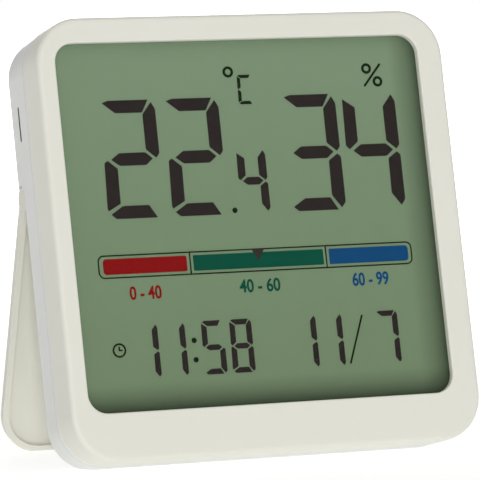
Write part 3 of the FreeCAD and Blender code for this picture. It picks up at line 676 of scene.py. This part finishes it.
# Moulded acrylic: clear, with the faintest grey green in its depth.
finish("display_window", clear_sheet("clear moulded acrylic", "#6E7468", 0.012, 0.06))
# Float glass: smooth on both faces, pale green at the edge.
float_glass = clear_sheet("thin float glass", "#B9C4B8", 0.25, 0.04)
finish("lcd_front_glass", float_glass)
finish("lcd_rear_glass", float_glass)

# %% [markdown]
# ## Inks
# Lit segments are near black with a trace of brown, because crossed polarisers leave a little light.
# The small fixed marks are printed in a darker green black. Both are as smooth as the glass that they
# are on, so they are the same function as the plastics, with almost no grain and no gloss, and a
# slight drift in density over 3 mm.

# %% Inks


def ink(name, low, high):
    """An ink whose density drifts between two codes, with no gloss of its own under the window."""
    return moulded(name, low, high, grain_mm=0.5, depth_mm=0.0005, cloud_mm=3.0, gloss=0.0)


# Driven liquid crystal lets almost nothing back: brownish black, with no shine.
segment_ink = ink("driven liquid crystal", "#2B2625", "#302929")
# Screen print is even and dense.
mark_ink = ink("screen-printed mark, green black", "#162413", "#1A2816")
print("inks:", segment_ink.name, "and", mark_ink.name)

# %% [markdown]
# ## From the drawing board to a mesh
# Everything that the display shows lies in the thin layer between film and window. A flat outline on
# the drawing board is given a depth in that layer, and the finished corners are leaned back into the
# scene all at once. Modelling in the leaning housing itself would put a sine into every number.

# %% Depths of the layer, and a mesh from board corners
WINDOW_GAP = 0.02
FILM_GAP = 0.015
ink_front = window_back + WINDOW_GAP
ink_back = film_front - FILM_GAP


def at_depth(flat, depth):
    """Rows of X, Z become rows of X, depth, Z."""
    return np.stack([flat[:, 0], np.full(len(flat), depth), flat[:, 1]], axis=1)


def board_mesh(name, corners, faces):
    """A mesh from corners on the drawing board, leaned back into the scene."""
    data = bpy.data.meshes.new(name)
    data.from_pydata(lean_back(np.concatenate(corners)).tolist(), [], faces)
    data.update()
    return data


print("layer from", round(ink_front, 3), "to", round(ink_back, 3), "mm behind the front plane")

# %% [markdown]
# ## Thin plates
# Each lit segment becomes a thin plate. It could be a picture on the film, but a plate keeps a sharp
# edge at any distance. Its outline is laid at the front and at the back of the layer and joined by
# side walls, which makes a closed solid. An outline drawn clockwise is turned round first, so that
# all faces look outward.

# %% Plates from outlines


def plate_mesh(name, outlines, lift=0.0):
    """Closed plates: each outline at the front and the back, joined by walls. Lift raises the front."""
    corners = []
    faces = []
    start = 0
    for outline in outlines:
        flat = np.asarray(outline, float)
        following = np.roll(flat, -1, axis=0)
        twice_area = np.sum(flat[:, 0] * following[:, 1] - following[:, 0] * flat[:, 1])
        flat = flat if twice_area > 0 else flat[::-1]
        n = len(flat)
        corners += [at_depth(flat, ink_front - lift), at_depth(flat, ink_back)]
        ring = np.arange(n) + start
        ahead = np.roll(ring, -1)
        faces.append(ring.tolist())
        faces.append((ring[::-1] + n).tolist())
        faces.extend(np.stack([ring, ring + n, ahead + n, ahead], axis=1).tolist())
        start += 2 * n
    return board_mesh(name, corners, faces)


def piece(name, data, body, made):
    """Links a finished mesh to the scene, in one finish, and lets it ride on a body."""
    thing = bpy.data.objects.new(name, data)
    scene.collection.objects.link(thing)
    data.materials.append(made)
    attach(thing, body)
    print(name, "faces:", len(data.polygons))


print("a plate is", round(ink_back - ink_front, 3), "mm thick")

# %% [markdown]
# ## Seven segments
# A digit is seven strokes. Horizontal strokes are trapezia, vertical ones have pointed ends with the
# outer corner cut off, and a thin gap is left between neighbours. Every corner is written as a share
# of the width, the height and the stroke, so one set of outlines serves each size of digit.

# %% Outlines of the seven segments


def segments(w, h, t):
    """The seven outlines of a digit of width w, height h and stroke t, from its lower left corner."""
    m = h / 2
    top = [(0.37 * t, h - 0.18 * t), (0.86 * t, h), (w - 0.55 * t, h), (w - 1.12 * t, h - t),
           (1.4 * t, h - t)]
    right_high = [(w - 0.31 * t, h - 0.2 * t), (w, h - 0.78 * t), (w, m + 0.4 * t),
                  (w - 0.29 * t, m + 0.05 * t), (w - 1.1 * t, m + 0.74 * t),
                  (w - 1.1 * t, h - 1.16 * t)]
    left_high = [(0.18 * t, h - 0.48 * t), (1.2 * t, h - 1.17 * t), (1.17 * t, m + 0.74 * t),
                 (0.4 * t, m + 0.13 * t), (0.1 * t, m + 0.45 * t)]
    middle = [(0.7 * t, m), (1.4 * t, m + 0.5 * t), (w - 1.2 * t, m + 0.5 * t), (w - 0.6 * t, m),
              (w - 1.2 * t, m - 0.5 * t), (1.38 * t, m - 0.5 * t)]
    right_low = [(w - 0.29 * t, m - 0.17 * t), (w, m - 0.44 * t), (w, 0.61 * t),
                 (w - 0.36 * t, 0.16 * t), (w - 1.12 * t, 1.17 * t), (w - 1.07 * t, m - 0.7 * t)]
    left_low = [(0.11 * t, m - 0.25 * t), (0.38 * t, m - 0.07 * t), (1.17 * t, m - 0.73 * t),
                (1.12 * t, 1.19 * t), (0.08 * t, 0.63 * t), (0.0, 0.86 * t)]
    bottom = [(0.26 * t, 0.35 * t), (1.3 * t, t), (w - 1.3 * t, t), (w - 0.67 * t, 0.0),
              (0.68 * t, 0.0)]
    return {"a": top, "b": right_high, "c": right_low, "d": bottom, "e": left_low, "f": left_high,
            "g": middle}


LIT = {"1": "bc", "2": "abged", "3": "abgcd", "4": "fgbc", "5": "afgcd", "7": "abc", "8": "abcdefg",
       "C": "afed"}


def digit(sign, x, z, w, h, t):
    """The lit outlines of one sign with its lower left corner at x, z."""
    made = segments(w, h, t)
    return [np.array(made[key]) + (x, z) for key in LIT[sign]]


print("signs that can be lit:", "".join(LIT))

# %% [markdown]
# ## Readings
# Temperature and humidity stand in big digits with a small decimal, and time and date in the row
# below. Each reading is a line of a table: the sign, where its lower left corner is on the drawing
# board, and the size of digit. All of them become one piece, as they are one layer in the display.

# %% Place the digits
# width, height and stroke in millimetres
BIG = (11.7, 22.8, 2.45)
SMALL = (6.25, 12.4, 1.5)
CLOCK = (4.7, 10.3, 1.05)

READINGS = (
    ("2", -30.4, 46.3, BIG),
    ("2", -17.2, 46.3, BIG),
    ("4", -3.05, 46.4, SMALL),
    ("3", 7.5, 46.3, BIG),
    ("4", 20.3, 46.3, BIG),
    ("1", -27.5, 15.7, CLOCK),
    ("1", -21.9, 15.7, CLOCK),
    ("5", -13.95, 15.7, CLOCK),
    ("8", -8.1, 15.7, CLOCK),
    ("1", 5.4, 15.8, CLOCK),
    ("1", 10.9, 15.8, CLOCK),
    ("7", 22.8, 15.8, CLOCK),
)
digit_outlines = []
for sign, x, z, size in READINGS:
    digit_outlines += digit(sign, x, z, *size)
piece("lcd_digits", plate_mesh("lcd_digits", digit_outlines), "housing", segment_ink)

# %% [markdown]
# ## Round paths
# The display's round shapes are circles and rectangles with rounded corners. Both are worked out
# from sine and cosine as whole arrays of points, and serve as outlines of plates and as paths.

# %% Circles and rounded rectangles


def circle(x, z, radius, steps=48):
    """Points on a circle: centre plus radius times cosine and sine."""
    a = np.linspace(0, 2 * pi, steps, endpoint=False)
    return np.stack([x + radius * np.cos(a), z + radius * np.sin(a)], axis=1)


def rounded(x0, x1, z0, z1, radii, steps=8):
    """A rounded rectangle: a quarter circle about each corner's centre, from the lower right round."""
    spots = ((x1, z0, -1, 1, -0.5), (x1, z1, -1, -1, 0.0), (x0, z1, 1, -1, 0.5), (x0, z0, 1, 1, 1.0))
    a = np.linspace(0, pi / 2, steps)
    parts = []
    for (x, z, side_x, side_z, turns), r in zip(spots, radii):
        around = a + turns * pi
        corner_x = x + side_x * r + r * np.cos(around)
        corner_z = z + side_z * r + r * np.sin(around)
        parts.append(np.stack([corner_x, corner_z], axis=1))
    return np.concatenate(parts)


print("a circle has", len(circle(0, 0, 1)), "points")

# %% [markdown]
# ## Bands along a path
# Rings and frames are lines of one width that close on themselves. A ring is a band carried round a
# circle, and the frame of a bar is the same band carried round a rounded rectangle, so one function
# makes both from a path of points. A Blender curve with a bevel profile could do it in more steps.

# %% Bands carried along a closed path


def band_mesh(name, paths, wide):
    """A band along closed paths: each point gives four corners, half the width along the normal."""
    corners = []
    faces = []
    start = 0
    for path_points in paths:
        ahead = np.roll(path_points, -1, axis=0) - np.roll(path_points, 1, axis=0)
        normal = np.stack([ahead[:, 1], -ahead[:, 0]], axis=1)
        normal /= np.linalg.norm(normal, axis=1, keepdims=True)
        n = len(path_points)
        for side, depth in ((0.5, ink_front), (0.5, ink_back), (-0.5, ink_back), (-0.5, ink_front)):
            corners.append(at_depth(path_points + normal * wide * side, depth))
        ring = np.arange(n)
        following = np.roll(ring, -1)
        for i in range(4):
            a = start + i * n
            b = start + ((i + 1) % 4) * n
            faces.extend(np.stack([ring + a, ring + b, following + b, following + a], axis=1).tolist())
        start += 4 * n
    return board_mesh(name, corners, faces)


RING_WIDE = 0.52
RINGS = [circle(-2.8, 74.0, 0.84), circle(26.62, 73.88, 0.79), circle(28.78, 71.27, 0.78)]
piece("lcd_rings", band_mesh("lcd_rings", RINGS, RING_WIDE), "housing", mark_ink)

# %% [markdown]
# ## Unit, percent sign, points and slash
# The degree ring gets its unit from the same seven segments as the digits, at a small size. A slash
# is a straight line of one width, and a point is a small full circle. All of them are plates.

# %% Unit, percent sign, points and slash
UNIT_SIZE = (3.2, 5.75, 0.62)
POINT_STEPS = 24
PERCENT_WIDE = 0.42
SLASH_WIDE = 0.36


def stroke(x0, z0, x1, z1, wide):
    """The outline of a straight line: both ends moved by half the width across it, to each side."""
    along = np.array([x1 - x0, z1 - z0])
    across = np.array([-along[1], along[0]]) / np.linalg.norm(along) * wide / 2
    start = np.array([x0, z0])
    end = np.array([x1, z1])
    return np.stack([start - across, end - across, end + across, start + across])


marks = digit("C", -1.15, 67.6, *UNIT_SIZE) + [
    stroke(25.85, 70.4, 29.65, 74.75, PERCENT_WIDE),
    circle(-4.29, 47.0, 0.53, POINT_STEPS),
    circle(-15.5, 22.37, 0.52, POINT_STEPS),
    circle(-15.48, 18.67, 0.52, POINT_STEPS),
    stroke(16.58, 16.2, 20.04, 25.5, SLASH_WIDE),
]
piece("lcd_marks", plate_mesh("lcd_marks", marks), "housing", mark_ink)

# %% [markdown]
# ## Humidity bar
# Under the readings lies a bar with three coloured fields for low, middle and high humidity. Its
# frame is a thin band round a rounded rectangle, and two lines part the fields. The three inks are
# printed, so each is even and a little darker than it would be on paper.

# %% Bar frame and fields
# left, right, low and high edge of the frame's middle line
BAR = (-33.4, 32.05, 35.08, 39.32)
DIVIDERS = (-14.65, 13.8)
BAR_RADIUS = 1.1
BAR_LINE = 0.25
FIELD_LOW = 35.7
FIELD_HIGH = 38.7

bar_line = rounded(*BAR, (BAR_RADIUS,) * 4)
piece("bar_frame", band_mesh("bar_frame", [bar_line], BAR_LINE), "housing", mark_ink)
dividers = [stroke(x, BAR[2], x, BAR[3], BAR_LINE) for x in DIVIDERS]
piece("bar_dividers", plate_mesh("bar_dividers", dividers), "housing", mark_ink)

# Screen-printed inks: full, even colours that the green film behind them makes a little deeper.
red_ink = ink("screen-printed ink, red", "#821113", "#8A1416")
green_ink = ink("screen-printed ink, green", "#0B4B39", "#0D5240")
blue_ink = ink("screen-printed ink, blue", "#124672", "#154B7A")
FIELDS = (
    # name, left and right end, corner radii from the lower right round, ink
    ("bar_dry_field", -32.5, -15.35, (0.35, 0.35, 0.7, 0.7), red_ink),
    ("bar_middle_field", -14.0, 13.2, (0.2, 0.2, 0.2, 0.2), green_ink),
    ("bar_damp_field", 14.45, 31.3, (0.7, 0.7, 0.2, 0.2), blue_ink),
)
for name, x0, x1, radii, made in FIELDS:
    field = rounded(x0, x1, FIELD_LOW, FIELD_HIGH, radii)
    piece(name, plate_mesh(name, [field]), "housing", made)

# %% [markdown]
# ## Numbers under the bar
# Each field has plain numbers for the humidity that it stands for. They are set in Blender's own
# typeface, a little fattened so that thin strokes survive at this size, and turned into a solid.
# Only the front and back of that solid are needed, so each corner is moved to one of the two depths.

# %% Numbers under the bar
FATTEN = 0.02
FIGURE_HIGH = 2.5


def number_piece(name, text, x, z, squeeze, made):
    """Plain numbers as a solid: scaled to the figures' height, squeezed, centred on x, foot at z."""
    curve = bpy.data.curves.new(name, "FONT")
    curve.body = text
    curve.align_x = "CENTER"
    curve.offset = FATTEN
    # Any thickness will do, because a corner's height only tells front from back below.
    curve.extrude = 0.5
    thing = bpy.data.objects.new(name + "_text", curve)
    scene.collection.objects.link(thing)
    bpy.context.view_layer.update()
    data = bpy.data.meshes.new_from_object(thing.evaluated_get(bpy.context.evaluated_depsgraph_get()))
    bpy.data.objects.remove(thing)
    flat = np.empty(len(data.vertices) * 3)
    data.vertices.foreach_get("co", flat)
    flat = flat.reshape(-1, 3)
    size = FIGURE_HIGH / flat[:, 1].max()
    depth = np.where(flat[:, 2] > 0, ink_front, ink_back)
    placed = np.stack([flat[:, 0] * size * squeeze + x, depth, flat[:, 1] * size + z], axis=1)
    data.vertices.foreach_set("co", lean_back(placed).ravel())
    data.materials.clear()
    data.name = name
    data.update()
    piece(name, data, "housing", made)


number_piece("range_dry", "0 - 40", -24.4, 30.8, 0.78, red_ink)
number_piece("range_middle", "40 - 60", -0.7, 31.1, 0.85, green_ink)
number_piece("range_damp", "60 - 99", 22.7, 31.3, 0.78, blue_ink)

# %% [markdown]
# ## Pointer and clock sign
# The pointer is a driven segment over the bar, a little paler than the digits. It lies in front of
# the field that it crosses, so its front is lifted by a hair. Beside the time stands a plain clock
# sign: a ring and two hands.

# %% Pointer and the small clock sign
LIFT = 0.012
POINTER = [(-1.7, 39.3), (-0.5, 37.0), (0.94, 39.3)]
CLOCK_X = -30.9
CLOCK_Z = 21.25
CLOCK_RADIUS = 1.2
CLOCK_LINE = 0.34
HAND_WIDE = 0.28

# Driven liquid crystal over a printed field: brownish black, a shade lighter.
pointer_ink = ink("driven liquid crystal, pointer", "#342F2C", "#3A3431")
pointer = plate_mesh("bar_pointer", [POINTER], lift=LIFT)
piece("bar_pointer", pointer, "housing", pointer_ink)
clock_ring = band_mesh("clock_ring", [circle(CLOCK_X, CLOCK_Z, CLOCK_RADIUS)], CLOCK_LINE)
piece("clock_ring", clock_ring, "housing", mark_ink)
hands = [stroke(CLOCK_X, 21.15, CLOCK_X, 22.0, HAND_WIDE),
         stroke(-31.0, CLOCK_Z, -30.25, CLOCK_Z, HAND_WIDE)]
piece("clock_hands", plate_mesh("clock_hands", hands), "housing", mark_ink)
